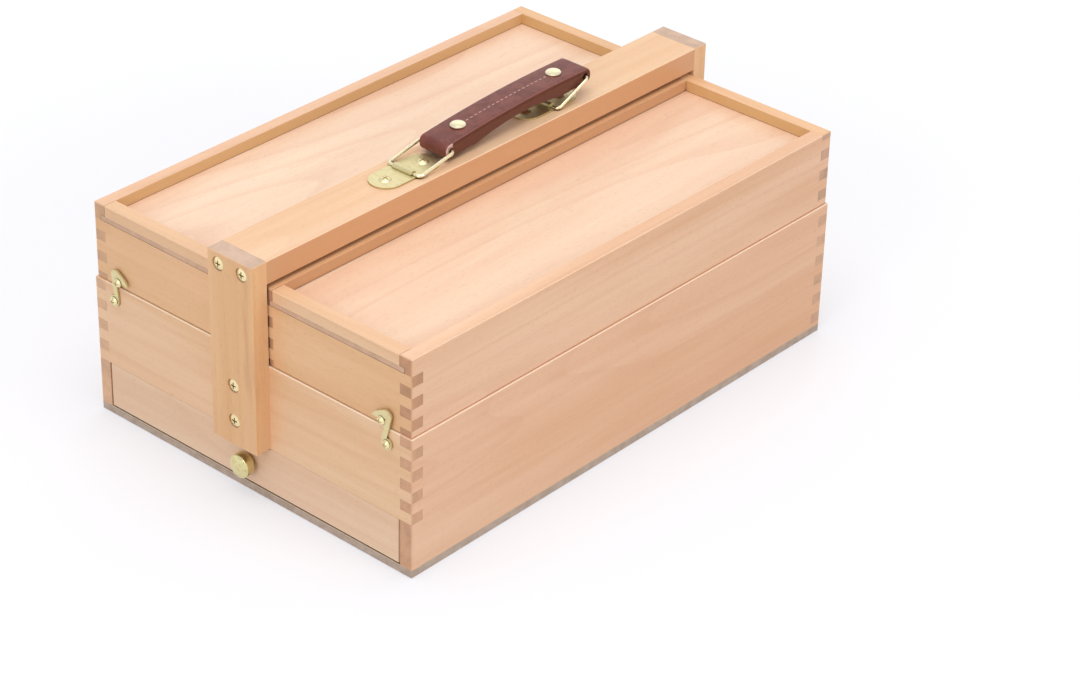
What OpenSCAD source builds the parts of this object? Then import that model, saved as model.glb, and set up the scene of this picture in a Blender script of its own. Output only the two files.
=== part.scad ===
// Wooden artist box: a base with a drawer under an open compartment, two trays
// with sliding lids side by side on the base, and a wooden yoke over both trays
// that carries a leather handle. Hooks at the ends hold the trays down.
// X runs across the box, Y along it with the drawer facing -Y, and Z is up.
// The origin is the middle of the underside. All sizes are millimetres.

/* [Carcass] */
// Length of the box over its end walls
body_l = 420; // [380:1:480]
// Width of the box over its side walls
body_w = 290; // [270:1:340]
// Height of the base from the table to its rim
base_h = 103.5; // [95:0.5:120]
// Height of each tray
tray_h = 56.2; // [50:0.1:70]
// Thickness of the solid wood walls
wall_t = 10; // [9:0.5:12]
// Thickness of the plywood bottom
bottom_t = 6; // [5:0.5:8]
// Thickness of the plywood floors of the compartment and the trays
floor_t = 4; // [3:0.5:5]
// Depth of the grooves that hold the floors
floor_groove_d = 4; // [3:0.5:5]
// Height of one finger of the corner joints
finger_h = 7.9; // [6:0.1:10]
// Width of the small bevel on the outer edges of the wood
arris = 0.6; // [0.4:0.1:1.2]
// Width of the bevel round the rim of the base
rim_arris = 0.6; // [0.4:0.1:1.2]

/* [Trays and lids] */
// How far the trays stand in from the faces of the base
tray_inset = 1.3; // [0.8:0.1:2]
// How far the floor of a tray lies above its lower edge
tray_floor_up = 3; // [2:0.5:5]
// Rim of the inner tray wall that shows beside the beam
tray_reveal = 3; // [2.6:0.1:5]
// Thickness of the sliding lid panel
lid_t = 3.6; // [3:0.1:4.5]
// Depth of the lid panel below the rim, and height of its batten
lid_recess = 8.1; // [6:0.1:11]
// Width of the batten on the lid, along the box
batten_w = 10; // [8:0.5:16]
// Depth of the lid groove in the outer and back walls
lid_groove_d = 4; // [3:0.5:5]
// Distance between the edge of a lid and the side of a leg as it slides past
lid_pass = 0.9; // [0.6:0.1:1.4]

/* [Yoke] */
// Width of the beam and of both legs
beam_w = 40; // [32:1:50]
// Thickness of the beam
beam_t = 17; // [14:0.5:22]
// Thickness of the legs
leg_t = 13; // [11:0.5:18]
// Gap between the rims of the trays and the beam
beam_gap = 3; // [2:0.5:5]
// Distance between the foot of a leg and the top of the drawer opening
leg_lift = 0.5; // [0.4:0.1:3]
// Height of the lower leg screw above the drawer opening
leg_screw_up = 19; // [12:0.5:22]
// Distance between the two leg screws in the base
leg_screw_pitch = 26.5; // [20:0.5:30]
// Distance between the two screws in the end of the beam
beam_screw_pitch = 21; // [16:0.5:24]
// Diameter of the wood screw heads
screw_head_d = 9; // [7:0.5:10]
// Diameter of the wood screw shanks
screw_d = 4; // [3:0.5:4.5]
// Rise of the wood screw heads in their middle
screw_dome_h = 0.8; // [0.4:0.1:1]
// How far the rims of the wood screw heads are sunk
screw_sink = 0.9; // [0.5:0.1:1.2]
// Room round the rim of a sunk wood screw head
sink_room = 0.5; // [0.2:0.1:0.8]
// Depth of the leg screws in the base walls
leg_screw_bite = 7; // [5:0.5:8]
// Depth of the beam screws in the end of the beam
beam_screw_bite = 26; // [18:1:35]

/* [Drawer] */
// Height of the drawer opening above the bottom
drawer_opening_h = 34.5; // [30:0.5:38]
// Thickness of the drawer front
drawer_front_t = 10; // [8:0.5:12]
// Gap between the drawer and the side walls of the base
drawer_side_gap = 0.9; // [0.4:0.1:1.5]
// Thickness of the drawer sides and back
drawer_side_t = 8; // [6:0.5:10]
// How far the drawer sides stop below the top of the drawer front
drawer_side_drop = 3; // [1:0.5:6]
// How far the drawer front stops above the lower edges of the drawer sides
drawer_front_lift = 0.6; // [0:0.1:1]
// Thickness of the drawer floor
drawer_floor_t = 3; // [2.5:0.5:4]
// Height of the drawer floor above the lower edge of the drawer
drawer_floor_up = 3; // [2:0.5:5]
// Depth of the drawer floor grooves, and of the drawer front rebates
drawer_groove_d = 4; // [3:0.5:5]
// Room between the drawer and the back wall of the base
drawer_back_gap = 4; // [1:0.5:10]
// Diameter of the drawer knob
knob_d = 17; // [12:0.5:20]
// How far the knob stands out
knob_l = 12.5; // [10:0.5:13]
// Diameter of the foot of the knob
knob_foot_d = 8.5; // [8:0.5:11]
// Diameter of the neck of the knob
knob_neck_d = 6.4; // [6:0.2:8]
// Diameter of the knob screw
knob_screw_d = 4; // [3:0.5:4.5]
// How far the knob screw reaches into the knob
knob_screw_bite = 7; // [5:0.5:8]

/* [Hooks] */
// Thickness of the brass hooks
hook_t = 1.5; // [1.2:0.1:2]
// Diameter of the eye of a hook
hook_eye_d = 8.6; // [7.5:0.1:10]
// Width of the arm of a hook
hook_arm_w = 4; // [3.4:0.2:5]
// Distance from the side of the box to the eye of a hook
hook_in = 20; // [17:0.5:30]
// Distance from the rim of the base down to the eye of a hook
hook_down = 10.5; // [8:0.5:12]
// Height of the catch screw above the eye of a hook
catch_up = 15.5; // [14:0.5:17]
// Distance of the catch screw from the eye, towards the middle of the box
catch_in = 4.5; // [4:0.5:6]
// Angle by which the front right hook hangs back from its catch screw
hook_slack = 6; // [0:1:10]
// Diameter of the shank of the hook and catch screws
hook_screw_d = 3; // [2.4:0.2:3.4]
// Diameter of the heads of the hook and catch screws
hook_screw_head_d = 6.4; // [5:0.2:7]
// Height of the domed heads of the hook and catch screws
hook_screw_head_h = 1.8; // [1.2:0.1:2.2]

/* [Handle] */
// Distance between the pivots of the two wire loops
handle_span = 136; // [120:1:150]
// How far the handle sits behind the middle of the beam
handle_off = 2; // [0:1:10]
// Reach of a wire loop from its pivot to the leather
loop_reach = 33; // [28:1:40]
// Distance from the side of the grip to the middle of the wire beside it
loop_side = 2.1; // [2:0.1:3]
// Diameter of the wire
wire_d = 2.5; // [2:0.1:3]
// Radius of the bends in the wire
wire_bend_r = 3; // [2.5:0.1:3]
// Angle at which the front loop leans back, above the beam
front_lean = 11; // [8:1:14]
// Angle at which the back loop leans back, above the beam
back_lean = 23; // [18:1:28]
// Width of the leather grip
grip_w = 25; // [22:0.5:27]
// Thickness of the grip round the wires
grip_end_t = 11; // [9.5:0.5:12]
// Thickness of the grip in its middle
grip_mid_t = 8; // [7:0.5:10]
// Rise of the grip in its middle
grip_arch = 2.2; // [1.5:0.1:5]
// Distance from a wire to the rivet next to it
rivet_in = 19.5; // [16:0.5:25]
// Diameter of the rivet heads
rivet_d = 11; // [9:0.5:12]
// Height of the rivet heads
rivet_h = 1.9; // [1.5:0.1:3]
// How far the sides of the brass handle plates lie in from those of the grip
plate_in = 0.5; // [0.5:0.1:2]
// Length of the brass handle plates
plate_l = 57; // [52:0.5:60]
// Thickness of the brass handle plates
plate_t = 1.2; // [1:0.1:1.5]
// Width of the raised saddle in which the wire turns
saddle_w = 17; // [12:0.5:19]
// Distance between the two screws of a handle plate
plate_screw_pitch = 35; // [32:0.5:37]
// Length of the handle plate screws in the beam
plate_screw_l = 11; // [8:0.5:12]
// Height of the domed heads of the handle plate screws
plate_screw_h = 1.6; // [1.2:0.1:2]

/* [Hidden] */

// Clearances: between moving pieces, round what turns, round fixed screws, and
// of panels in grooves
run_gap = 0.3;
pin_gap = 0.08;
screw_gap = 0.1;
panel_gap = 0.2;
// Rubbed edges of the plywood bottom
ply_arris = 0.3;
// Overshoot of cutters, and the thinnest finger that is still cut
over = 1;
least_finger = 0.6;

// Faces of the carcass
half_w = body_w / 2;
half_l = body_l / 2;
inside_w = half_w - wall_t;
inside_l = half_l - wall_t;
opening_z = bottom_t + drawer_opening_h;
compartment_floor_z = opening_z + 2;

// Levels and faces of the trays, given for the right tray
tray_z = base_h + run_gap;
rim_z = tray_z + tray_h;
lid_top_z = rim_z - lid_recess;
lid_z = lid_top_z - lid_t;
shelf_z = lid_z - run_gap;
tray_out = half_w - tray_inset;
tray_out_face = tray_out - wall_t;
tray_in_face = beam_w / 2 + tray_reveal;
tray_in = tray_in_face - wall_t;
tray_end = half_l - tray_inset;
tray_end_face = tray_end - wall_t;
tray_floor_z = tray_z + tray_floor_up;

// Edges of the right lid panel
lid_in = beam_w / 2 + lid_pass;
lid_out = tray_out_face + lid_groove_d - run_gap;
lid_back = tray_end_face + lid_groove_d - run_gap;

// Yoke
beam_z = rim_z + beam_gap;
beam_top = beam_z + beam_t;
leg_z = opening_z + leg_lift;
beam_screw_z = beam_z + beam_t / 2;
low_screw_zs = [opening_z + leg_screw_up, opening_z + leg_screw_up + leg_screw_pitch];

// Drawer
drawer_z = bottom_t + run_gap;
drawer_top = opening_z - run_gap;
drawer_half_w = inside_w - drawer_side_gap;
drawer_front_y = -half_l;
drawer_back_y = inside_l - drawer_back_gap;
drawer_floor_z = drawer_z + drawer_floor_up;
drawer_side_top = drawer_top - drawer_side_drop;
knob_z = (drawer_z + drawer_top) / 2;

// Hooks: the front right one, in the plane of the end wall
hook_x = half_w - hook_in;
hook_z = base_h - hook_down;
hook_y = -half_l - run_gap;
catch_r = norm([catch_in, catch_up]);
beak_r = catch_r + hook_screw_d / 2 + run_gap;
hook_head_y = -half_l - hook_t - 2 * run_gap;

// Handle: the pivots of the loops, the wires in the leather, and its tilt
bar_z = beam_top + wire_d / 2 + run_gap;
loop_half_w = grip_w / 2 + loop_side;
plate_w = grip_w - 2 * plate_in;
front_bar_y = handle_off - handle_span / 2;
back_bar_y = handle_off + handle_span / 2;
front_wire = [front_bar_y + loop_reach * cos(front_lean), bar_z + loop_reach * sin(front_lean)];
back_wire = [back_bar_y + loop_reach * cos(back_lean), bar_z + loop_reach * sin(back_lean)];
grip_pitch = norm(back_wire - front_wire);
grip_tilt = atan2(back_wire[1] - front_wire[1], back_wire[0] - front_wire[0]);
// The back eye is a slot, because the two loops lean at different angles
loop_spread = 2 * loop_reach * sin((back_lean - front_lean) / 2);
eye_r = wire_d / 2 + run_gap;
slot_r = eye_r + 1;
slot_run = loop_spread * (1 - sin((back_lean + front_lean) / 2)) + run_gap;

// Colours of the wood, the brass and the leather
beech = [0.91, 0.74, 0.58];
beech_light = [0.97, 0.82, 0.70];
plywood = [0.70, 0.61, 0.53];
brass = [0.85, 0.73, 0.42];
leather = [0.42, 0.22, 0.19];

// Mirrors what is drawn for the right side to the side that s names
module on_side(s) {
    if (s < 0) mirror([1, 0, 0]) children();
    else children();
}

// Mirrors what is drawn for the front end to the end that e names
module on_end(e) {
    if (e > 0) mirror([0, 1, 0]) children();
    else children();
}

// Block between two corners
module block(low, high) {
    translate(low) cube(high - low);
}

// Outline of a board end with a bevel on its two upper and two lower corners
function bevelled(x0, x1, z0, z1, top, foot) = concat(
    foot > 0 ? [[x0, z0 + foot], [x0 + foot, z0], [x1 - foot, z0], [x1, z0 + foot]]
             : [[x0, z0], [x1, z0]],
    [[x1, z1 - top], [x1 - top, z1], [x0 + top, z1], [x0, z1 - top]]);

// Block with bevelled upright edges, and bevels round its top and its foot
module soft_block(low, high, top, foot) {
    intersection() {
        translate([0, 0, low[2]])
            linear_extrude(high[2] - low[2])
                polygon(bevelled(low[0], high[0], low[1], high[1], arris, arris));
        translate([0, high[1], 0])
            rotate([90, 0, 0])
                linear_extrude(high[1] - low[1])
                    polygon(bevelled(low[0], high[0], low[2], high[2], top, foot));
        translate([low[0], 0, 0])
            rotate([90, 0, 90])
                linear_extrude(high[0] - low[0])
                    polygon(bevelled(low[1], high[1], low[2], high[2], top, foot));
    }
}

// Height bands in which the end walls, and not the side walls, reach the corner
function finger_bands(ref, z0, z1) = [
    for (k = [floor((z0 - ref) / finger_h / 2) : ceil((z1 - ref) / finger_h / 2)])
        let (low = max(z0, ref + 2 * k * finger_h), high = min(z1, ref + (2 * k + 1) * finger_h))
            if (high - low > least_finger) [low, high]];

base_front_bands = finger_bands(opening_z, opening_z, base_h);
base_back_bands = finger_bands(opening_z, bottom_t, base_h);
tray_front_bands = finger_bands(shelf_z - finger_h, tray_z, shelf_z);
tray_back_bands = finger_bands(shelf_z - finger_h, tray_z, rim_z);

// Upright board along Y from x0 to x1, cut out at both ends for the fingers
module side_board(x0, x1, end_y, z0, z1, front_bands, back_bands) {
    difference() {
        block([x0, -end_y, z0], [x1, end_y, z1]);
        for (b = front_bands)
            block([x0 - over, -end_y - over, b[0]], [x1 + over, -end_y + wall_t, b[1]]);
        for (b = back_bands)
            block([x0 - over, end_y - wall_t, b[0]], [x1 + over, end_y + over, b[1]]);
    }
}

// Upright board across X at the front end, with a finger in each band
module end_board(x0, x1, end_y, z0, z1, bands) {
    block([x0 + wall_t, -end_y, z0], [x1 - wall_t, -end_y + wall_t, z1]);
    for (b = bands) block([x0, -end_y, b[0]], [x1, -end_y + wall_t, b[1]]);
}

// Countersunk screw with the rim of its raised head at the origin and its tip at -l
module countersunk_screw(l) {
    cone_h = (screw_head_d - screw_d) / 2;
    rim_h = 0.5;
    tip_h = screw_d;
    cross_l = screw_head_d * 0.5;
    cross_w = 1;
    cross_h = 1.6;
    difference() {
        union() {
            rotate_extrude($fn = 48)
                polygon([[0, 0], [screw_head_d / 2, 0], [screw_head_d / 2, -rim_h],
                         [screw_d / 2, -rim_h - cone_h], [screw_d / 2, tip_h - l], [0, -l]]);
            dome(screw_head_d, screw_dome_h);
        }
        translate([0, 0, screw_dome_h]) cross_recess(cross_l, cross_w, cross_h);
    }
}

// Hole that a countersunk screw of length l sits in, wide round the rim of its head
module countersunk_hole(l) {
    cone_h = (screw_head_d - screw_d) / 2;
    rim_h = 0.5;
    rotate_extrude($fn = 48)
        polygon([[0, screw_sink + over], [screw_head_d / 2 + sink_room, screw_sink + over],
                 [screw_head_d / 2 + sink_room, -rim_h],
                 [screw_d / 2 + screw_gap, -rim_h - cone_h],
                 [screw_d / 2 + screw_gap, -l - screw_gap], [0, -l - screw_gap]]);
}

// Part of a ball that rises by h over a circle of diameter d at the origin
module dome(d, h) {
    dome_r = (d * d / 4 + h * h) / (2 * h);
    intersection() {
        translate([0, 0, h - dome_r]) sphere(dome_r, $fn = 96);
        cylinder(h = h, d = d, $fn = 48);
    }
}

// Round head that rises by h from the origin, on a shank that reaches to -l
module round_screw(d, head_d, h, l) {
    cross_l = head_d * 0.55;
    cross_w = 0.8;
    cross_sink = 0.7;
    difference() {
        union() {
            dome(head_d, h);
            translate([0, 0, -l]) cylinder(h = l + h / 2, d = d, $fn = 36);
        }
        translate([0, 0, h]) cross_recess(cross_l, cross_w, cross_sink);
    }
}

// Cross-shaped recess of depth h under the origin
module cross_recess(l, w, h) {
    for (turn = [0, 90])
        rotate([0, 0, turn])
            translate([-l / 2, -w / 2, -h]) cube([l, w, h + over]);
}

// Long side wall of the base
module base_side(s) {
    color(beech)
        on_side(s)
            difference() {
                intersection() {
                    side_board(inside_w, half_w, half_l, bottom_t, base_h,
                               base_front_bands, base_back_bands);
                    base_outline();
                }
                compartment_floor_room();
            }
}

// Outer faces of the base walls, bevelled at the corners and round the rim
module base_outline() {
    soft_block([-half_w, -half_l, bottom_t], [half_w, half_l, base_h], rim_arris, 0);
}

// Grooves for the floor of the compartment
module compartment_floor_room() {
    block([-inside_w - floor_groove_d, -inside_l - floor_groove_d, compartment_floor_z],
          [inside_w + floor_groove_d, inside_l + floor_groove_d, compartment_floor_z + floor_t]);
}

// Upper front wall of the base, over the drawer, drilled for leg and hooks
module base_end_front() {
    color(beech)
        difference() {
            intersection() {
                end_board(-half_w, half_w, half_l, opening_z, base_h, base_front_bands);
                base_outline();
            }
            compartment_floor_room();
            leg_screw_holes();
            hook_screw_holes();
        }
}

// Full height back wall of the base, drilled for leg and hooks
module base_end_back() {
    color(beech)
        on_end(1)
            difference() {
                intersection() {
                    end_board(-half_w, half_w, half_l, bottom_t, base_h, base_back_bands);
                    base_outline();
                }
                compartment_floor_room();
                leg_screw_holes();
                hook_screw_holes();
            }
}

// Plywood bottom under all four walls
module base_bottom() {
    color(plywood)
        soft_block([-half_w, -half_l, 0], [half_w, half_l, bottom_t], ply_arris, ply_arris);
}

// Plywood floor of the compartment, in grooves above the drawer
module compartment_floor() {
    edge_x = inside_w + floor_groove_d - panel_gap;
    edge_y = inside_l + floor_groove_d - panel_gap;
    color(plywood)
        block([-edge_x, -edge_y, compartment_floor_z],
              [edge_x, edge_y, compartment_floor_z + floor_t]);
}

// Leg of the yoke, screwed to the end of the base and to the beam
module leg(e) {
    color(beech)
        on_end(e)
            difference() {
                intersection() {
                    soft_block([-beam_w / 2, -half_l - leg_t, leg_z],
                               [beam_w / 2, -half_l + arris, beam_top], arris, arris);
                    block([-beam_w, -half_l - leg_t, 0], [beam_w, -half_l, beam_top]);
                }
                leg_screw_holes();
                beam_screw_holes();
            }
}

// Beam of the yoke, between the tops of the legs
module beam() {
    color(beech_light)
        difference() {
            beam_bar();
            for (e = [-1, 1]) on_end(e) beam_screw_holes();
            for (y = plate_screw_ys())
                translate([0, y, beam_top - plate_screw_l - screw_gap])
                    cylinder(h = plate_screw_l + over, d = screw_d + 2 * screw_gap, $fn = 36);
        }
}

// Beam before it is drilled, bevelled along its four long edges
module beam_bar() {
    translate([0, half_l, 0])
        rotate([90, 0, 0])
            linear_extrude(2 * half_l)
                polygon(bevelled(-beam_w / 2, beam_w / 2, beam_z, beam_top, arris, arris));
}

// Puts its children at each place of a front leg screw in the base, facing out
module at_leg_screws() {
    for (z = low_screw_zs)
        translate([0, -half_l - leg_t + screw_sink, z]) rotate([90, 0, 0]) children();
}

// Puts its children at each place of a front beam screw, facing out
module at_beam_screws() {
    for (x = [-beam_screw_pitch / 2, beam_screw_pitch / 2])
        translate([x, -half_l - leg_t + screw_sink, beam_screw_z]) rotate([90, 0, 0]) children();
}

module leg_screw_holes() {
    at_leg_screws() countersunk_hole(leg_t - screw_sink + leg_screw_bite);
}

module beam_screw_holes() {
    at_beam_screws() countersunk_hole(leg_t - screw_sink + beam_screw_bite);
}

// Four brass screws that hold the legs to the base
module leg_screws() {
    color(brass)
        for (e = [-1, 1])
            on_end(e) at_leg_screws() countersunk_screw(leg_t - screw_sink + leg_screw_bite);
}

// Four brass screws that hold the legs to the beam
module beam_screws() {
    color(brass)
        for (e = [-1, 1])
            on_end(e) at_beam_screws() countersunk_screw(leg_t - screw_sink + beam_screw_bite);
}

// Outer faces of the right tray, with its small bevels
module tray_outline() {
    soft_block([tray_in, -tray_end, tray_z], [tray_out, tray_end, rim_z], arris, arris / 2);
}

// Grooves for the floor of the right tray
module tray_floor_room() {
    block([tray_in_face - floor_groove_d, -tray_end_face - floor_groove_d, tray_floor_z],
          [tray_out_face + floor_groove_d, tray_end_face + floor_groove_d, tray_floor_z + floor_t]);
}

// Room in which the right lid slides: grooves that are open at the front
module lid_room() {
    block([lid_in - run_gap, -tray_end - over, shelf_z],
          [lid_out + run_gap, lid_back + run_gap, lid_top_z + run_gap]);
}

// Outer long wall of a tray
module tray_outer_side(s) {
    color(beech)
        on_side(s)
            difference() {
                intersection() {
                    side_board(tray_out_face, tray_out, tray_end, tray_z, rim_z,
                               tray_front_bands, tray_back_bands);
                    tray_outline();
                }
                tray_floor_room();
                lid_room();
            }
}

// Inner long wall of a tray, partly under the beam
module tray_inner_side(s) {
    color(beech)
        on_side(s)
            difference() {
                intersection() {
                    side_board(tray_in, tray_in_face, tray_end, tray_z, rim_z,
                               tray_front_bands, tray_back_bands);
                    tray_outline();
                }
                tray_floor_room();
                lid_room();
            }
}

// Front wall of a tray, low enough for the lid to slide out over it
module tray_front(s) {
    color(beech)
        on_side(s)
            difference() {
                intersection() {
                    end_board(tray_in, tray_out, tray_end, tray_z, shelf_z, tray_front_bands);
                    tray_outline();
                }
                tray_floor_room();
                catch_screw_hole();
            }
}

// Full height back wall of a tray, grooved for the end of the lid
module tray_back(s) {
    color(beech)
        on_side(s)
            difference() {
                on_end(1)
                    intersection() {
                        end_board(tray_in, tray_out, tray_end, tray_z, rim_z, tray_back_bands);
                        tray_outline();
                    }
                tray_floor_room();
                lid_room();
                on_end(1) catch_screw_hole();
            }
}

// Plywood floor of a tray
module tray_floor(s) {
    reach = floor_groove_d - panel_gap;
    color(plywood)
        on_side(s)
            block([tray_in_face - reach, -tray_end_face - reach, tray_floor_z],
                  [tray_out_face + reach, tray_end_face + reach, tray_floor_z + floor_t]);
}

// Sliding lid panel of a tray
module lid_panel(s) {
    color(beech_light)
        on_side(s) block([lid_in, -tray_end, lid_z], [lid_out, lid_back, lid_top_z]);
}

// Batten on the front of a lid, flush with the rim
module lid_batten(s) {
    color(beech_light)
        on_side(s)
            intersection() {
                block([tray_in_face + run_gap, -tray_end, lid_top_z],
                      [tray_out_face - run_gap, -tray_end + batten_w, rim_z]);
                tray_outline();
            }
}

// Two brass screws of a tray that its hooks catch
module catch_screws(s) {
    color(brass)
        on_side(s)
            for (e = [-1, 1])
                on_end(e)
                    translate([hook_x - catch_in, hook_head_y, hook_z + catch_up])
                        rotate([90, 0, 0])
                            round_screw(hook_screw_d, hook_screw_head_d, hook_screw_head_h,
                                        -tray_end - hook_head_y + catch_bite());
}

// Depth of the catch screws in the tray, short of the floor groove
function catch_bite() = wall_t - floor_groove_d - over;

module catch_screw_hole() {
    translate([hook_x - catch_in, -tray_end - over, hook_z + catch_up])
        rotate([-90, 0, 0])
            cylinder(h = catch_bite() + over + screw_gap, d = hook_screw_d + 2 * screw_gap,
                     $fn = 36);
}

// Drawer front, rebated at both ends of its back for the drawer sides
module drawer_front() {
    color(beech_light)
        difference() {
            soft_block([-drawer_half_w, drawer_front_y, drawer_z + drawer_front_lift],
                       [drawer_half_w, drawer_front_y + drawer_front_t, drawer_top],
                       arris / 2, arris / 2);
            for (s = [-1, 1]) on_side(s) drawer_side_blank();
            drawer_floor_room();
            translate([0, drawer_front_y - over, knob_z])
                rotate([-90, 0, 0])
                    cylinder(h = drawer_front_t + 2 * over, d = knob_screw_d + 2 * screw_gap,
                             $fn = 36);
        }
}

// Right drawer side before it is cut for the back and grooved for the floor
module drawer_side_blank() {
    block([drawer_half_w - drawer_side_t, drawer_front_y + drawer_front_t - drawer_groove_d,
           drawer_z],
          [drawer_half_w, drawer_back_y, drawer_side_top]);
}

// Grooves for the drawer floor
module drawer_floor_room() {
    x = drawer_half_w - drawer_side_t + drawer_groove_d;
    block([-x, drawer_front_y + drawer_front_t - drawer_groove_d, drawer_floor_z],
          [x, drawer_back_y - drawer_side_t + drawer_groove_d, drawer_floor_z + drawer_floor_t]);
}

// Fingers of the drawer back, which alternate with those of the drawer sides
drawer_bands = finger_bands(drawer_z + finger_h / 2, drawer_z, drawer_side_top);

module drawer_side(s) {
    color(beech)
        on_side(s)
            difference() {
                drawer_side_blank();
                for (b = drawer_bands)
                    block([drawer_half_w - drawer_side_t - over, drawer_back_y - drawer_side_t, b[0]],
                          [drawer_half_w + over, drawer_back_y + over, b[1]]);
                drawer_floor_room();
            }
}

module drawer_back() {
    x = drawer_half_w - drawer_side_t;
    color(beech)
        difference() {
            union() {
                block([-x, drawer_back_y - drawer_side_t, drawer_z],
                      [x, drawer_back_y, drawer_side_top]);
                for (b = drawer_bands)
                    block([-drawer_half_w, drawer_back_y - drawer_side_t, b[0]],
                          [drawer_half_w, drawer_back_y, b[1]]);
            }
            drawer_floor_room();
        }
}

// Thin plywood floor of the drawer
module drawer_floor() {
    x = drawer_half_w - drawer_side_t + drawer_groove_d - panel_gap;
    y0 = drawer_front_y + drawer_front_t - drawer_groove_d + panel_gap;
    y1 = drawer_back_y - drawer_side_t + drawer_groove_d - panel_gap;
    color(plywood)
        block([-x, y0, drawer_floor_z], [x, y1, drawer_floor_z + drawer_floor_t]);
}

// Turned brass knob: foot, neck and a thick head with round edges and a domed face
module drawer_knob() {
    foot_h = 1.4;
    head_h = 9;
    face_h = 1.6;
    back_edge_r = 1.4;
    front_edge_r = 1.2;
    head_z = knob_l - head_h;
    color(brass)
        translate([0, drawer_front_y, knob_z])
            rotate([90, 0, 0])
                difference() {
                    union() {
                        cylinder(h = foot_h, d = knob_foot_d, $fn = 48);
                        cylinder(h = head_z + back_edge_r, d = knob_neck_d, $fn = 48);
                        rotate_extrude($fn = 64)
                            difference() {
                                translate([0, head_z]) square([knob_d / 2, head_h - face_h]);
                                translate([knob_d / 2, head_z]) edge_cut(back_edge_r);
                                translate([knob_d / 2, knob_l - face_h])
                                    mirror([0, 1]) edge_cut(front_edge_r);
                            }
                        translate([0, 0, knob_l - face_h])
                            dome(knob_d - 2 * front_edge_r, face_h);
                    }
                    translate([0, 0, -over])
                        cylinder(h = knob_screw_bite + over + screw_gap,
                                 d = knob_screw_d + 2 * screw_gap, $fn = 36);
                }
}

// Waste outside a quarter round of radius r, for the lower outer corner at the origin
module edge_cut(r) {
    difference() {
        translate([-r, -over]) square(r + over);
        translate([-r, r]) circle(r, $fn = 48);
    }
}

// Screw through the drawer front into the knob, with its head inside
module knob_screw() {
    head_h = 2.4;
    head_d = 1.9 * knob_screw_d;
    color(brass)
        translate([0, drawer_front_y + drawer_front_t, knob_z])
            rotate([-90, 0, 0])
                round_screw(knob_screw_d, head_d, head_h, drawer_front_t + knob_screw_bite);
}

// Hook, turned about its eye until its arm lies by the catch screw, less its slack
module hook(s, e, slack) {
    color(brass)
        on_side(s)
            on_end(e)
                translate([hook_x, hook_y, hook_z])
                    rotate([90, 0, 0])
                        linear_extrude(hook_t) rotate(-slack) hook_shape();
}

// Eye, leaning arm, and a beak whose inner edge is an arc about the eye
module hook_shape() {
    lean = 0.135;
    inner = hook_screw_d / 2 + run_gap - catch_in;
    foot = inner - lean * catch_up;
    top = inner + lean * (beak_r + hook_arm_w / 2 - catch_up);
    shoulder_r = 1.1 * hook_arm_w;
    shoulder = [top + hook_arm_w - shoulder_r, beak_r + hook_arm_w / 2];
    difference() {
        union() {
            circle(d = hook_eye_d, $fn = 48);
            polygon([[max(foot, -hook_eye_d / 2), 0], [foot + hook_arm_w, 0],
                     [top + hook_arm_w, shoulder[1]], [top, shoulder[1]],
                     [inner - lean * (catch_up - hook_eye_d / 2), hook_eye_d / 2]]);
            difference() {
                union() {
                    intersection() {
                        translate(beak_r * [0.116, 0.305]) circle(1.06 * beak_r, $fn = 144);
                        translate([-2 * beak_r, 0.85 * beak_r])
                            square([2 * beak_r + shoulder[0], beak_r]);
                    }
                    translate(shoulder) circle(shoulder_r, $fn = 48);
                }
                circle(beak_r, $fn = 144);
            }
        }
        circle(d = hook_screw_d + 2 * pin_gap, $fn = 36);
    }
}

// Four round-headed screws that the hooks turn on
module hook_screws() {
    color(brass)
        for (s = [-1, 1], e = [-1, 1])
            on_side(s)
                on_end(e)
                    translate([hook_x, hook_head_y, hook_z])
                        rotate([90, 0, 0])
                            round_screw(hook_screw_d, hook_screw_head_d, hook_screw_head_h,
                                        -half_l - hook_head_y + hook_screw_bite());
}

function hook_screw_bite() = wall_t - 2 * over;

module hook_screw_holes() {
    for (s = [-1, 1])
        translate([s * hook_x, -half_l - over, hook_z])
            rotate([-90, 0, 0])
                cylinder(h = hook_screw_bite() + over + screw_gap,
                         d = hook_screw_d + 2 * screw_gap, $fn = 36);
}

// Brass handle plate: half-round ends and a raised saddle over the wire
module handle_plate(bar_y) {
    saddle_r = wire_d / 2 + pin_gap;
    color(brass)
        translate([0, bar_y, beam_top])
            difference() {
                union() {
                    linear_extrude(plate_t) plate_outline();
                    rotate([90, 0, 90])
                        linear_extrude(saddle_w, center = true)
                            intersection() {
                                translate([0, bar_z - beam_top])
                                    circle(saddle_r + plate_t, $fn = 64);
                                translate([-plate_w, 0]) square([2 * plate_w, plate_w]);
                            }
                }
                rotate([90, 0, 90])
                    linear_extrude(plate_w + 2 * over, center = true)
                        union() {
                            translate([0, bar_z - beam_top]) circle(saddle_r, $fn = 64);
                            translate([-saddle_r, -over])
                                square([2 * saddle_r, bar_z - beam_top + over]);
                        }
                for (side = [-1, 1])
                    translate([0, side * plate_screw_pitch / 2, -over])
                        cylinder(h = plate_t + 2 * over, d = screw_d + 2 * screw_gap, $fn = 36);
            }
}

module plate_outline() {
    run = plate_l - plate_w;
    translate([-plate_w / 2, -run / 2]) square([plate_w, run]);
    for (side = [-1, 1]) translate([0, side * run / 2]) circle(d = plate_w, $fn = 96);
}

// Places of the handle plate screws along the beam
function plate_screw_ys() = [
    for (bar_y = [front_bar_y, back_bar_y], side = [-1, 1]) bar_y + side * plate_screw_pitch / 2];

// Four raised-head screws that hold the handle plates
module handle_plate_screws() {
    color(brass)
        for (y = plate_screw_ys())
            translate([0, y, beam_top + plate_t])
                round_screw(screw_d, screw_head_d, plate_screw_h, plate_screw_l + plate_t);
}

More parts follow.
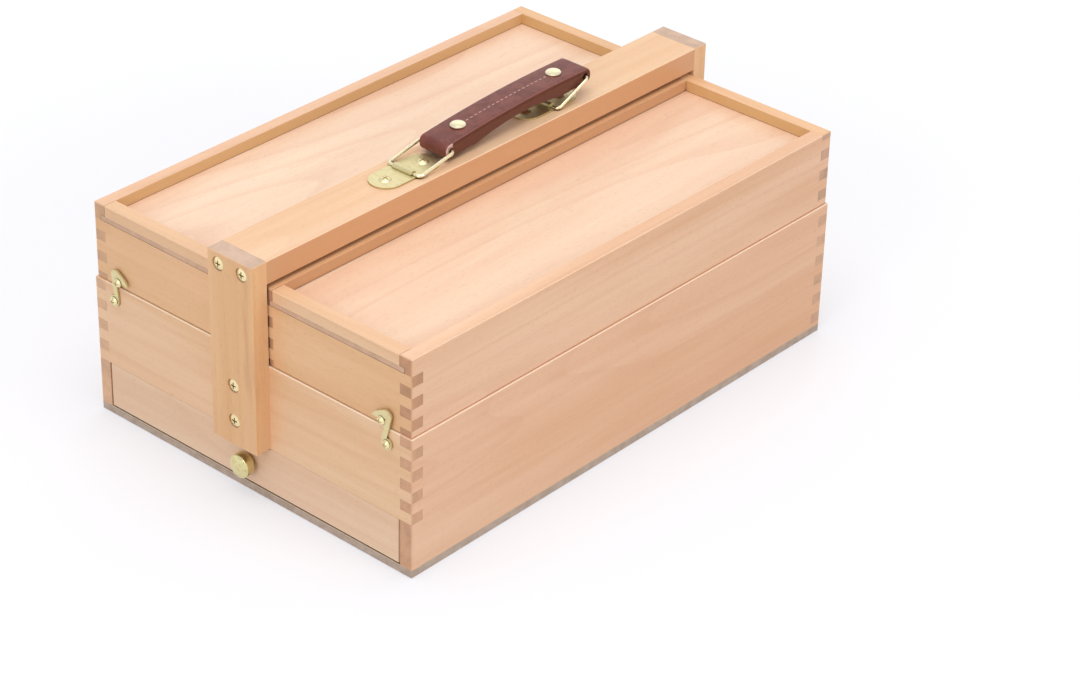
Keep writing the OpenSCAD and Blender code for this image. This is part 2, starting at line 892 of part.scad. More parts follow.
// Loop of brass wire that lies flat along +Y from its pivot at the origin
module wire_loop() {
    gap = 0.8;
    for (side = [-1, 1]) {
        translate([side * loop_half_w, wire_bend_r, 0])
            rotate([-90, 0, 0])
                cylinder(h = loop_reach - 2 * wire_bend_r, d = wire_d, $fn = 36);
        translate([side * gap / 2, 0, 0])
            rotate([0, side * 90, 0])
                cylinder(h = loop_half_w - wire_bend_r - gap / 2, d = wire_d, $fn = 36);
        mirror([side < 0 ? 1 : 0, 0, 0]) {
            translate([loop_half_w - wire_bend_r, wire_bend_r, 0])
                rotate([0, 0, -90]) wire_bend();
            translate([loop_half_w - wire_bend_r, loop_reach - wire_bend_r, 0]) wire_bend();
        }
    }
    translate([wire_bend_r - loop_half_w, loop_reach, 0])
        rotate([0, 90, 0])
            cylinder(h = 2 * (loop_half_w - wire_bend_r), d = wire_d, $fn = 36);
}

// Quarter bend of the wire about the origin, from +X to +Y
module wire_bend() {
    rotate_extrude(angle = 90, $fn = 72) translate([wire_bend_r, 0]) circle(d = wire_d, $fn = 36);
}

module handle_loop(bar_y, lean) {
    color(brass)
        translate([0, bar_y, bar_z]) rotate([lean, 0, 0]) wire_loop();
}

// Puts its children in the frame of the grip: front wire at the origin, its
// length along the first axis and its thickness along the second
module in_grip() {
    translate([0, front_wire[0], front_wire[1]])
        rotate([grip_tilt, 0, 0])
            rotate([90, 0, 90]) children();
}

// Radius of the arc with chord c and rise h
function arc_radius(c, h) = c * c / (8 * h) + h / 2;

grip_top_r = arc_radius(grip_pitch, grip_arch);
// The hollow under the grip runs between the rivets
grip_hollow_in = rivet_in + rivet_d / 2;
grip_hollow_rise = grip_end_t + grip_arch - grip_mid_t;
grip_hollow_r = arc_radius(grip_pitch - 2 * grip_hollow_in, grip_hollow_rise);

// Height of the upper face of the grip at the distance u from the front wire
function grip_top(u) = grip_end_t / 2 + grip_arch - grip_top_r
    + sqrt(pow(grip_top_r, 2) - pow(u - grip_pitch / 2, 2));

// Height of the lower face of the grip at the distance u from the front wire
function grip_foot(u) = max(-grip_end_t / 2, grip_hollow_rise - grip_end_t / 2 - grip_hollow_r
    + sqrt(pow(grip_hollow_r, 2) - pow(u - grip_pitch / 2, 2)));

// Arched leather grip, folded round the wires at both ends
module handle_grip() {
    lap = 0.4;
    half_t = grip_end_t / 2;
    color(leather)
        in_grip()
            difference() {
                linear_extrude(grip_w, center = true)
                    difference() {
                        union() {
                            for (u = [0, grip_pitch])
                                translate([u, 0]) circle(d = grip_end_t, $fn = 64);
                            intersection() {
                                polygon([[0, -half_t], [grip_pitch, -half_t],
                                         [grip_pitch + lap, half_t + grip_arch],
                                         [-lap, half_t + grip_arch]]);
                                translate([grip_pitch / 2, half_t + grip_arch - grip_top_r])
                                    circle(grip_top_r, $fn = 900);
                            }
                        }
                        translate([grip_pitch / 2, grip_hollow_rise - half_t - grip_hollow_r])
                            circle(grip_hollow_r, $fn = 540);
                        circle(eye_r, $fn = 48);
                        translate([grip_pitch, 0]) circle(slot_r, $fn = 48);
                        translate([grip_pitch - slot_run, 0]) circle(slot_r, $fn = 48);
                        translate([grip_pitch - slot_run, -slot_r])
                            square([slot_run, 2 * slot_r]);
                    }
                for (u = [rivet_in, grip_pitch - rivet_in])
                    translate([u, -grip_end_t, 0])
                        rotate([-90, 0, 0])
                            cylinder(h = 3 * grip_end_t, d = rivet_shank_d() + 2 * screw_gap,
                                     $fn = 36);
            }
}

function rivet_shank_d() = rivet_d * 0.36;

// Two brass rivets through the grip, with crowned heads above and flat ends below
module grip_rivets() {
    foot_h = 0.8;
    reach = rivet_d / 2;
    rim_w = 1.5;
    rim_h = rivet_h * 0.7;
    color(brass)
        in_grip()
            for (side = [-1, 1]) {
                u = grip_pitch / 2 + side * (grip_pitch / 2 - rivet_in);
                seat = grip_top(u - side * reach);
                foot = min(grip_foot(u - side * reach / 2), grip_foot(u + side * reach / 2));
                translate([u, seat, 0])
                    rotate([-90, 0, 0])
                        union() {
                            rotate_extrude($fn = 64)
                                polygon([[0, 0], [reach, 0], [reach, rim_h / 3],
                                         [reach - rim_w / 3, rim_h * 3 / 4],
                                         [reach - rim_w, rim_h], [0, rim_h]]);
                            translate([0, 0, rim_h])
                                dome(rivet_d - 2 * rim_w, rivet_h - rim_h);
                        }
                translate([u, foot - foot_h / 2, 0])
                    rotate([-90, 0, 0])
                        cylinder(h = seat - foot + foot_h / 2 + rivet_h / 2, d = rivet_shank_d(),
                                 $fn = 36);
                translate([u, foot - foot_h, 0])
                    rotate([-90, 0, 0]) cylinder(h = foot_h, d = reach, $fn = 36);
            }
}

base_side(-1);  // base_side_left
base_side(1);  // base_side_right
base_end_front();
base_end_back();
base_bottom();
compartment_floor();
leg(-1);  // leg_front
leg(1);  // leg_back
beam();
leg_screws();
beam_screws();
tray_outer_side(-1);  // tray_left_outer_side
tray_inner_side(-1);  // tray_left_inner_side
tray_front(-1);  // tray_left_front
tray_back(-1);  // tray_left_back
tray_floor(-1);  // tray_left_floor
catch_screws(-1);  // tray_left_catch_screws
tray_outer_side(1);  // tray_right_outer_side
tray_inner_side(1);  // tray_right_inner_side
tray_front(1);  // tray_right_front
tray_back(1);  // tray_right_back
tray_floor(1);  // tray_right_floor
catch_screws(1);  // tray_right_catch_screws
lid_panel(-1);  // lid_left_panel
lid_batten(-1);  // lid_left_batten
lid_panel(1);  // lid_right_panel
lid_batten(1);  // lid_right_batten
drawer_front();
drawer_side(-1);  // drawer_side_left
drawer_side(1);  // drawer_side_right
drawer_back();
drawer_floor();
drawer_knob();
knob_screw();
hook(-1, -1, 0);  // hook_front_left
hook(1, -1, hook_slack);  // hook_front_right
hook(-1, 1, 0);  // hook_back_left
hook(1, 1, 0);  // hook_back_right
hook_screws();
handle_plate(front_bar_y);  // handle_plate_front
handle_plate(back_bar_y);  // handle_plate_back
handle_plate_screws();
handle_loop(front_bar_y, front_lean);  // handle_loop_front
handle_loop(back_bar_y, back_lean);  // handle_loop_back
handle_grip();
grip_rivets();
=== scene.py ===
import math

import bpy
from mathutils import Matrix, Vector


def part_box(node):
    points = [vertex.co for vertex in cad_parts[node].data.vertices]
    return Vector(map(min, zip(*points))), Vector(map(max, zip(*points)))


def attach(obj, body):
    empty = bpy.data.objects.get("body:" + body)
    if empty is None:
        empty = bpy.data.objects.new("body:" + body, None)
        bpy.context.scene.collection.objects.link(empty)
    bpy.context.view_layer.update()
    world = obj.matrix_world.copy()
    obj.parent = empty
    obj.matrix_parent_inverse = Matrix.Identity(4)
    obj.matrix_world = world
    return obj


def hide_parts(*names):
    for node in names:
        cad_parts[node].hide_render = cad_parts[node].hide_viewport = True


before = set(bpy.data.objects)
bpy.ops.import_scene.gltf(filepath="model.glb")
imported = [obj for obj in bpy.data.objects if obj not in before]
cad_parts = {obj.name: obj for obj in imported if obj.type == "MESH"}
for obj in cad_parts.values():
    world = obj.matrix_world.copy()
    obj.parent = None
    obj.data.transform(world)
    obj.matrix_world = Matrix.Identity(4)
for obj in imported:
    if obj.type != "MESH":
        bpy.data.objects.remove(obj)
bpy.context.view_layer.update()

# The CAD box is kept.
bpy.ops.object.select_all(action="DESELECT")

# Base walls. Four boards of steamed beech, planed, joined by glued fingers at the
# corners and rubbed with a satin lacquer. Each board's fingers end on the
# neighbouring face, where they show as small squares of darker end grain.


class Shade:
    """A value, colour or vector in one material, with Python's signs for its maths."""

    def __init__(self, tree, socket=None):
        self.tree, self.socket = tree, socket

    def add(self, kind, settings, inputs, output=0):
        """Adds one node: its settings come first, then the values or links of its sockets."""
        made = self.tree.nodes.new(kind)
        for name, value in settings.items():
            setattr(made, name, value)
        for name, value in inputs.items():
            if isinstance(value, Shade):
                self.tree.links.new(value.socket, made.inputs[name])
            else:
                made.inputs[name].default_value = value
        return Shade(self.tree, made.outputs[output])

    def maths(self, sign, a, b=0.0):
        """One Math node on values, links or both."""
        return self.add("ShaderNodeMath", {"operation": sign}, {0: a, 1: b})

    def __add__(self, other):
        return self.maths("ADD", self, other)

    def __sub__(self, other):
        return self.maths("SUBTRACT", self, other)

    def __rsub__(self, other):
        return self.maths("SUBTRACT", other, self)

    def __mul__(self, other):
        return self.maths("MULTIPLY", self, other)

    def __abs__(self):
        return self.maths("ABSOLUTE", self)

    __radd__, __rmul__ = __add__, __mul__

    def fraction(self):
        """What is left of the value over the whole number below it."""
        return self.maths("FRACT", self)

    def between(self, low, high):
        """0 below low, 1 above high, and a smooth step between them."""
        return self.add("ShaderNodeMapRange", {"interpolation_type": "SMOOTHSTEP"},
                        {"Value": self, "From Min": low, "From Max": high})

    def mix(self, first, second):
        """The first colour where this value is 0 and the second where it is 1."""
        return self.add("ShaderNodeMix", {"data_type": "RGBA"},
                        {0: self, 6: as_colour(first), 7: as_colour(second)}, 2)

    def times(self, stretch):
        """This vector, stretched by three factors."""
        return self.add("ShaderNodeVectorMath", {"operation": "MULTIPLY"}, {0: self, 1: stretch})

    def moved(self, shift):
        """This vector and a constant one."""
        return self.add("ShaderNodeVectorMath", {"operation": "ADD"}, {0: self, 1: shift})

    def length(self):
        """How long this vector is."""
        return self.add("ShaderNodeVectorMath", {"operation": "LENGTH"}, {0: self}, "Value")

    def axis(self, index):
        """One of this vector's three parts."""
        return self.add("ShaderNodeSeparateXYZ", {}, {0: self}, index)

    def noise(self, scale, detail=2.0, roughness=0.5, distortion=0.0):
        """Noise of this vector, mostly between 0.3 and 0.7."""
        return self.add("ShaderNodeTexNoise", {},
                        {"Vector": self, "Scale": scale, "Detail": detail,
                         "Roughness": roughness, "Distortion": distortion})


X, Y, Z = range(3)


def as_colour(value):
    """A colour as a mix node takes it."""
    return value if isinstance(value, Shade) else (*value, 1)


def srgb(r, g, b):
    """The linear colour of one that reads r, g, b on screen."""
    return tuple(c / 255 / 12.92 if c < 10.3 else ((c / 255 + 0.055) / 1.055) ** 2.4
                 for c in (r, g, b))


def tinted(colour, tint):
    """The colour with each of its three parts weakened to a share."""
    return tuple(part * share for part, share in zip(colour, tint))


class Finish:
    """One material, with its shader and the place on the piece."""

    def __init__(self, name, **constants):
        self.material = bpy.data.materials.new(name)
        self.material.use_nodes = True
        self.tree = self.material.node_tree
        self.shader = self.tree.nodes["Principled BSDF"]
        self.place = Shade(self.tree).add("ShaderNodeTexCoord", {}, {}, "Object")
        self.set(**constants)

    def set(self, **sockets):
        """Gives the shader's sockets their values or links."""
        for name, value in sockets.items():
            socket = self.shader.inputs[name.replace("_", " ")]
            if isinstance(value, Shade):
                self.tree.links.new(value.socket, socket)
            else:
                socket.default_value = value

    def bump(self, height, strength, depth):
        """Fine relief, with its depth in metres."""
        self.set(Normal=height.add("ShaderNodeBump", {},
                                   {"Height": height, "Strength": strength, "Distance": depth}))

    def facing(self, axis):
        """How squarely the surface looks along an axis, from -1 to 1."""
        return self.place.add("ShaderNodeNewGeometry", {}, {}, "Normal").axis(axis)

    def painted_gap_shade(self, colour, dark, reach, clear=0.7):
        """The colour, going over to a dark one where other faces lie within reach: painted shade.
        """
        open_air = self.place.add("ShaderNodeAmbientOcclusion", {"samples": 8},
                                  {"Distance": reach}, "AO")
        return open_air.between(0.25, clear).mix(dark, colour)

    def on(self, *nodes):
        """Puts this finish on nodes of the CAD model."""
        for name in nodes:
            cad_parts[name].material_slots[0].material = self.material


def beech(name, along, pale, warm, seed, butt=srgb(210, 157, 120), wave=0.07, swirl=1.1,
          growth=0.14, edge_highlight_share=0.15, gap_shade_reach=0.0, shaded_faces=(), shade_tint=srgb(206, 149, 104)):
    """Lacquered beech with its grain along one axis, and its own pattern for each seed.

    The face goes from pale to warm in soft bands, long for a small wave and bent by
    swirl. Growth is the strength of the growth lines, butt the colour of the end grain,
    the edge share how strongly the bevelled edges take a painted highlight, and the gap
    reach how far painted shade reaches into narrow gaps. Each shaded face, an axis and a
    sign, takes painted shade in its tint, warm from the wood that it stands close to.
    """
    fleck_brown, heart_brown = srgb(168, 108, 70), srgb(172, 116, 80)
    highlight_pale, gap_shade_brown = srgb(255, 236, 212), srgb(92, 56, 38)
    pinker, deeper, sawn_dark = (1.0, 0.96, 0.97), (0.86, 0.70, 0.62), (0.74, 0.74, 0.74)
    wood = Finish(name, Specular_IOR_Level=0.45)
    place = wood.place.moved((seed * 0.731, seed * 0.417, seed * 0.893))

    def drawn(length):
        """The place, for a pattern that is longer along the grain the smaller length is."""
        stretch = [1.0, 1.0, 1.0]
        stretch[along] = length
        return place.times(tuple(stretch))

    bands = drawn(wave).noise(17, detail=3, distortion=swirl)
    streaks = drawn(0.04).noise(170, detail=3, roughness=0.6)
    tone = bands.between(0.34, 0.66) * 0.66 + streaks.between(0.30, 0.72) * 0.34
    patches = drawn(0.35).noise(9, distortion=0.8).between(0.35, 0.65)
    face = patches.mix(tone.mix(pale, warm), tone.mix(tinted(pale, pinker), warm))

    flecks = drawn(0.15).noise(1500)
    face = (flecks.between(0.56, 0.72) * 0.16).mix(face, fleck_brown)
    hills = drawn(0.11).noise(7.5, detail=1, roughness=0.4, distortion=0.5)
    lines = (hills * 17).fraction().between(0.62, 0.97)
    face = (lines * growth).mix(face, tinted(warm, deeper))
    heart = drawn(0.09).noise(34, detail=3, roughness=0.6, distortion=0.6).between(0.66, 0.74)
    face = (heart * 0.22).mix(face, heart_brown)

    # Painted shade, tinted by light off nearby wood, on the faces that stand close to it.
    for axis, sign in shaded_faces:
        turned = (wood.facing(axis) * sign).between(0.8, 0.95)
        face = (turned * 0.75).mix(face, shade_tint)
    # Painted highlight on the bevelled edges between the sides and the top.
    up = abs(wood.facing(Z))
    painted_edge_highlight = up.between(0.45, 0.6) * (1 - up.between(0.85, 0.97))
    face = (painted_edge_highlight * edge_highlight_share).mix(face, highlight_pale)

    pores = place.noise(1100, roughness=0.6).between(0.35, 0.65)
    rings = place.noise(70, distortion=0.6).between(0.3, 0.7)
    end_grain = (pores * 0.4 + rings * 0.6).mix(butt, tinted(butt, sawn_dark))
    across = abs(wood.facing(along)).between(0.6, 0.8)
    colour = across.mix(face, end_grain)
    # Painted shade in narrow gaps.
    if gap_shade_reach:
        colour = wood.painted_gap_shade(colour, gap_shade_brown, gap_shade_reach)
    wood.set(Base_Color=colour, Roughness=0.38 + 0.12 * streaks + 0.12 * across)
    wood.bump(flecks + streaks * 0.4, 0.22, 0.0001)
    return wood


near_butt = srgb(224, 173, 138)
plain_pale, plain_warm = srgb(244, 202, 164), srgb(230, 178, 134)
# The base walls' bevelled edges take a strong painted highlight.
beech("base_side_beech_left", Y, srgb(244, 200, 164), srgb(230, 176, 132), 1.0,
      butt=srgb(238, 192, 156), edge_highlight_share=0.7).on("base_side_left")
beech("base_side_beech_right", Y, srgb(244, 201, 168), srgb(231, 179, 140), 2.7,
      butt=near_butt, edge_highlight_share=0.7).on("base_side_right")
beech("base_front_beech", X, srgb(246, 208, 171), srgb(235, 189, 144), 3.1,
      butt=near_butt, edge_highlight_share=0.7).on("base_end_front")
beech("base_back_beech", X, plain_pale, plain_warm, 4.6,
      butt=srgb(226, 179, 147), edge_highlight_share=0.7).on("base_end_back")

# Bottom and floors. Thin birch plywood. The bottom is glued under all four walls,
# so its sawn edge shows all round, grey-brown with fine glue lines. The floors of
# the trays, the drawer and the space above it lie in grooves.


def plywood(name, seed):
    """Birch plywood: pale faces with painted shade where they meet a wall, and a sawn edge."""
    veneer = 0.0015
    ply = Finish(name, Specular_IOR_Level=0.3)
    place = ply.place.moved((seed, seed, 0))
    figure = place.times((1.0, 0.08, 1.0)).noise(60, detail=3, roughness=0.6)
    layers = (ply.place.axis(Z) * (1 / veneer)).fraction()
    glue = abs(layers - 0.5).between(0.16, 0.34)
    torn = place.noise(160, detail=4, roughness=0.7).between(0.3, 0.7)
    edge = (glue * 0.55 + torn * 0.45).mix(srgb(212, 194, 180), srgb(164, 141, 124))
    face = ply.painted_gap_shade(figure.mix(srgb(236, 210, 176), srgb(215, 182, 142)),
                         srgb(92, 60, 42), 0.003)
    flat = abs(ply.facing(Z)).between(0.6, 0.8)
    ply.set(Base_Color=flat.mix(edge, face), Roughness=0.55 + 0.15 * figure)
    ply.bump(place.noise(700) + glue * 0.5, 0.3, 0.0001)
    return ply


plywood("bottom_plywood", 0.0).on("base_bottom")
plywood("floor_plywood", 2.2).on("compartment_floor", "tray_left_floor", "tray_right_floor",
                                 "drawer_floor")

# Yoke. Two upright legs and the beam between them, screwed to each other and to the
# base, with bevelled edges. The legs' grain stands upright, so their tops are end
# grain, sanded smooth and a little greyer than the rest.

beech("leg_beech", Z, srgb(243, 200, 154), srgb(231, 180, 128), 5.3,
      butt=srgb(222, 188, 164)).on("leg_front", "leg_back")
# The beam's long sides carry painted shade, and painted shade darkens it in the gap over the
# trays.
beech("beam_beech", Y, srgb(247, 212, 176), srgb(236, 191, 148), 6.1,
      gap_shade_reach=0.004, shaded_faces=((X, 1), (X, -1))).on("beam")

# Trays. Two shallow trays from the same boards and with the same finger joints as
# the base. Their inner faces catch the light off the lids and carry painted shade:
# golden on the outer walls and the backs, a duller brown on the inner walls. Narrow
# gaps carry painted shade too, and the outer walls' edges a painted highlight.

golden_shade, brown_shade = srgb(210, 172, 116), srgb(191, 143, 104)
for side, seed, outward, butt in (("left", 7.4, -1, srgb(226, 180, 142)),
                                  ("right", 8.8, 1, srgb(210, 157, 120))):
    beech(f"tray_{side}_outer_beech", Y, srgb(244, 203, 169), srgb(231, 181, 142), seed,
          butt=butt, edge_highlight_share=0.3, shaded_faces=((X, -outward),), shade_tint=golden_shade).on(
              f"tray_{side}_outer_side")
    beech(f"tray_{side}_inner_beech", Y, srgb(244, 200, 156), srgb(230, 174, 124), seed + 0.3,
          gap_shade_reach=0.004, shaded_faces=((X, outward),), shade_tint=brown_shade).on(f"tray_{side}_inner_side")
    beech(f"tray_{side}_front_beech", X, srgb(244, 201, 158), srgb(232, 183, 134), seed + 0.6,
          gap_shade_reach=0.0012).on(f"tray_{side}_front")
    beech(f"tray_{side}_back_beech", X, srgb(243, 199, 154), srgb(231, 180, 130), seed + 0.8,
          butt=srgb(216, 171, 141), shaded_faces=((Y, -1),), shade_tint=golden_shade).on(f"tray_{side}_back")

# Lids. Each is a thin panel of pinkish beech with a soft wavy figure, and a batten
# glued across its front end that closes the tray flush with its rim.

# Painted shade darkens the lid panels in their narrow gaps.
for side, seed, pale, warm in (("left", 10.3, srgb(250, 221, 192), srgb(244, 205, 176)),
                               ("right", 12.9, srgb(248, 216, 186), srgb(242, 200, 170))):
    beech(f"lid_{side}_beech", Y, pale, warm, seed, butt=srgb(226, 184, 154), wave=0.18,
          swirl=1.5, growth=0.22, gap_shade_reach=0.0007).on(f"lid_{side}_panel")
    beech(f"batten_{side}_beech", X, srgb(244, 205, 166), srgb(232, 186, 144),
          seed + 0.9).on(f"lid_{side}_batten")

# Drawer. A paler front, rebated for the two sides, and a back finger-jointed to
# them. The whole box glides on the plywood bottom.

# Painted shade darkens the drawer front in the gaps round it.
beech("drawer_front_beech", X, srgb(245, 212, 182), srgb(236, 196, 163), 14.2,
      gap_shade_reach=0.003).on("drawer_front")
beech("drawer_side_beech", Y, plain_pale, plain_warm, 15.7).on(
    "drawer_side_left", "drawer_side_right")
beech("drawer_back_beech", X, plain_pale, plain_warm, 16.4).on("drawer_back")

# Brass fittings. Hooks and plates are stamped from sheet, screws, rivets and knob
# are turned, and the loops are bent wire: all plain polished brass, darkened in the
# corners and recesses by painted shade and a little dirt where no cloth reaches.


def brass(name, bright, dull, seed, rough=0.24, recess=0.5):
    """Polished brass, going dull in spots. Painted shade darkens its recesses; recess is how
    bright they stay.
    """
    metal = Finish(name, Metallic=1.0)
    place = metal.place.moved((seed, 0, 0))
    spots = place.noise(320, detail=3, roughness=0.6)
    brushed = place.times((1.0, 1.0, 0.15)).noise(1900)
    polished = (spots.between(0.45, 0.8) * 0.6).mix(bright, dull)
    metal.set(Base_Color=metal.painted_gap_shade(polished, tinted(dull, (recess,) * 3), 0.0022, 0.85),
              Roughness=rough + 0.10 * spots.between(0.4, 0.7) + 0.05 * brushed)
    metal.bump(brushed, 0.1, 0.00004)
    return metal


brass("sheet_brass", srgb(222, 210, 164), srgb(204, 188, 138), 0.2, rough=0.38).on(
    "handle_plate_front", "handle_plate_back", "hook_front_left", "hook_front_right",
    "hook_back_left", "hook_back_right")
brass("screw_brass", srgb(240, 226, 180), srgb(218, 198, 142), 0.5, rough=0.3, recess=0.85).on(
    "leg_screws", "beam_screws", "hook_screws", "handle_plate_screws",
    "tray_left_catch_screws", "tray_right_catch_screws", "knob_screw")
brass("rivet_brass", srgb(242, 232, 198), srgb(226, 210, 164), 0.7).on("grip_rivets")
brass("wire_brass", srgb(246, 238, 200), srgb(228, 212, 158), 0.8, rough=0.2).on(
    "handle_loop_front", "handle_loop_back")
brass("knob_brass", srgb(222, 212, 160), srgb(186, 172, 116), 1.3, rough=0.12).on("drawer_knob")

# Grip. One strap of burgundy bridle leather goes over the top, round both wires and
# back underneath, over a core of stacked leather. It is riveted at both ends, sewn
# between, and stained on its cut edges, all but a pale ring round the front wire that
# is raw hide and partly a painted highlight.

wire_r = 0.00125


def wire_in_grip(loop):
    """The middle of a loop's wire where it lies in the grip, its highest and rearmost."""
    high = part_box(loop)[1]
    return Vector((0, high[1] - wire_r, high[2] - wire_r))


wire_front, wire_back = wire_in_grip("handle_loop_front"), wire_in_grip("handle_loop_back")
pitch = (wire_back - wire_front).length
tilt = math.atan2(wire_back.z - wire_front.z, wire_back.y - wire_front.y)
strap_w, strap_t, core_w = 0.0244, 0.0026, 0.0240
# The folds have half the height end_r, the top is crowned by rise, and the grip is
# middle_t high in its middle. The hollow underneath starts hollow_in from each wire.
end_r, rise, middle_t, hollow_in = 0.00542, 0.0022, 0.0088, 0.025


def top_at(u):
    """Height of the strap's upper face over the line between the two wires."""
    share = (u - pitch / 2) / (pitch / 2)
    return end_r + rise * max(0.0, 1 - share * share)


def under_at(u):
    """Height of its lower face, which is hollowed for the fingers."""
    share = (u - pitch / 2) / (pitch / 2 - hollow_in)
    return -end_r + (rise + 2 * end_r - middle_t) * max(0.0, 1 - share * share)


def grip_outline(inset, square, long_steps=44, end_steps=18):
    """The grip's outline in its own side view, once round, drawn in by an inset. Its
    folds are half circles, or squarer the higher the second value is above 2."""
    def fold(middle, side):
        for k in range(1, end_steps):
            a = side * (math.pi / 2 - math.pi * k / end_steps)
            reach = [math.copysign(abs(part) ** (2 / square), part)
                     for part in (math.cos(a), math.sin(a))]
            yield middle + side * (end_r - inset) * reach[0], (end_r - inset) * reach[1]

    stations = [pitch * k / long_steps for k in range(long_steps + 1)]
    line = [(u, top_at(u) - inset) for u in stations]
    line += fold(pitch, 1)
    line += [(u, under_at(u) + inset) for u in reversed(stations)]
    line += fold(0, -1)
    return line


def edge_ring(name, points, x):
    """A closed ring of edges through points given along and above the grip."""
    bpy.ops.mesh.primitive_circle_add(vertices=len(points), radius=0.01, fill_type="NOTHING")
    ring = bpy.context.object
    ring.name = ring.data.name = name
    for vertex, (u, v) in zip(ring.data.vertices, points):
        vertex.co = (x, u, v)
    return ring


def face_outwards():
    """Turns all faces of the mesh in edit mode outwards and leaves that mode."""
    bpy.ops.mesh.select_all(action="SELECT")
    bpy.ops.mesh.normals_make_consistent(inside=False)
    bpy.ops.object.mode_set(mode="OBJECT")


def modify(piece, kind, **settings):
    """Adds a modifier and applies it."""
    modifier = piece.modifiers.new(kind.lower(), kind)
    for name, value in settings.items():
        setattr(modifier, name, value)
    bpy.ops.object.select_all(action="DESELECT")
    piece.select_set(True)
    bpy.context.view_layer.objects.active = piece
    bpy.ops.object.modifier_apply(modifier=modifier.name)


def join(pieces):
    """Joins the pieces into the first of them."""
    bpy.ops.object.select_all(action="DESELECT")
    for piece in pieces:
        piece.select_set(True)
    bpy.context.view_layer.objects.active = pieces[0]
    bpy.ops.object.join()


# The strap is drawn out across its width in bands, and its two edges are beaten down.
edge_band, middle_bands = 0.0022, 4
middle_band = (strap_w - 2 * edge_band) / middle_bands
strap = edge_ring("grip_strap", grip_outline(0, 2.7), -strap_w / 2)
bpy.ops.object.mode_set(mode="EDIT")
bpy.ops.mesh.select_all(action="SELECT")
for band in (edge_band, *[middle_band] * middle_bands, edge_band):
    bpy.ops.mesh.extrude_region_move(TRANSFORM_OT_translate={"value": (band, 0, 0)})
face_outwards()
beaten, flat_share = 0.0004, 0.8
for vertex in strap.data.vertices:
    edge = max(0.0, abs(vertex.co.x) / (strap_w / 2) - flat_share) / (1 - flat_share)
    vertex.co.z -= math.copysign(beaten * edge, vertex.co.z)
sharp = math.radians(50)
modify(strap, "SOLIDIFY", thickness=strap_t, offset=-1)
modify(strap, "BEVEL", width=0.0009, segments=4, limit_method="ANGLE", angle_limit=sharp)
bpy.ops.object.shade_smooth_by_angle(angle=sharp)

# The core fills the strap and has an eye for each wire. The back one is wide,
# because its wire wanders in it as the handle swings over.
overlap, eye_points = 0.00005, 24
core = edge_ring("grip_core", grip_outline(strap_t - overlap, 2.5), -core_w / 2)
eyes = []
for at, eye_r in ((0.0, 0.00158), (pitch, 0.00255)):
    turns = [math.tau * k / eye_points for k in range(eye_points)]
    eyes.append(edge_ring("eye", [(at + eye_r * math.cos(a), eye_r * math.sin(a)) for a in turns],
                          -core_w / 2))
join([core, *eyes])
bpy.ops.object.mode_set(mode="EDIT")
bpy.ops.mesh.select_all(action="SELECT")
bpy.ops.mesh.fill(use_beauty=True)
bpy.ops.mesh.select_all(action="SELECT")
bpy.ops.mesh.extrude_region_move(TRANSFORM_OT_translate={"value": (core_w, 0, 0)})
face_outwards()

# The seam runs along the middle, above and below: one stitch, copied to each place.
stitch_w, stitch_l, stitch_t, stitch_pitch = 0.0011, 0.0031, 0.0006, 0.0043
seam_from, proud, nudge = 0.0262, 0.00003, 0.0001
count = int((pitch - 2 * seam_from) / stitch_pitch)
first = pitch / 2 - stitch_pitch * (count - 1) / 2
places = []
for k in range(count):
    u = first + stitch_pitch * k
    for height, up in ((top_at, 1), (under_at, -1)):
        turn = math.atan2(height(u + nudge) - height(u), nudge)
        places.append(Matrix.Translation((0, u, height(u) + proud * up))
                      @ Matrix.Rotation(turn, 4, "X"))
bpy.ops.mesh.primitive_uv_sphere_add(segments=8, ring_count=6, radius=0.5)
thread = bpy.context.object
thread.name = thread.data.name = "grip_thread"
thread.data.transform(Matrix.Diagonal((stitch_w, stitch_l, stitch_t, 1)))
stitches = [thread]
while len(stitches) < len(places):
    bpy.ops.object.duplicate()
    stitches.append(bpy.context.object)
for stitch, place in zip(stitches, places):
    stitch.data.transform(place)
join(stitches)
bpy.ops.object.shade_smooth()

leather = Finish("burgundy_leather", Coat_Roughness=0.3, Coat_Weight=0.12,
                 Specular_IOR_Level=0.4)
grain = leather.place.noise(900, detail=3, roughness=0.6)
creases = leather.place.noise(120, detail=4, roughness=0.6, distortion=0.8)
skin = creases.between(0.35, 0.65).mix(srgb(124, 62, 52), srgb(104, 48, 40))
# Painted highlight along the strap's rounded edges.
sideways = abs(leather.facing(X))
painted_edge_highlight = sideways.between(0.15, 0.5) * (1 - sideways.between(0.7, 0.9))
skin = (painted_edge_highlight * 0.5).mix(skin, srgb(156, 104, 96))
fibres = leather.place.times((1.0, 0.3, 1.0)).noise(700, detail=3, roughness=0.6)
stained = fibres.mix(srgb(108, 52, 32), srgb(84, 39, 24))
# A pale ring round the front wire, open towards the core: raw hide, and partly a painted
# highlight.
ring_from, ring_to, ring_fades = 0.0022, 0.0048, 0.0005
from_wire = leather.place.moved(-wire_front).times((0.0, 1.0, 1.0))
round_wire = from_wire.length()
raw_and_highlight = (round_wire.between(ring_from, ring_from + ring_fades)
       * (1 - round_wire.between(ring_to, ring_to + ring_fades))
       * (1 - from_wire.axis(Y).between(0.0008, 0.0020)))
cut = raw_and_highlight.mix(stained, srgb(232, 198, 190))
leather.set(Base_Color=sideways.between(0.8, 0.95).mix(skin, cut),
            Roughness=0.44 + 0.14 * creases)
leather.bump(grain + creases * 0.6, 0.35, 0.00015)

waxed = Finish("waxed_thread", Roughness=0.6)
twist = waxed.place.noise(2500)
waxed.set(Base_Color=twist.mix(srgb(210, 170, 160), srgb(168, 120, 112)))
waxed.bump(twist, 0.3, 0.0001)

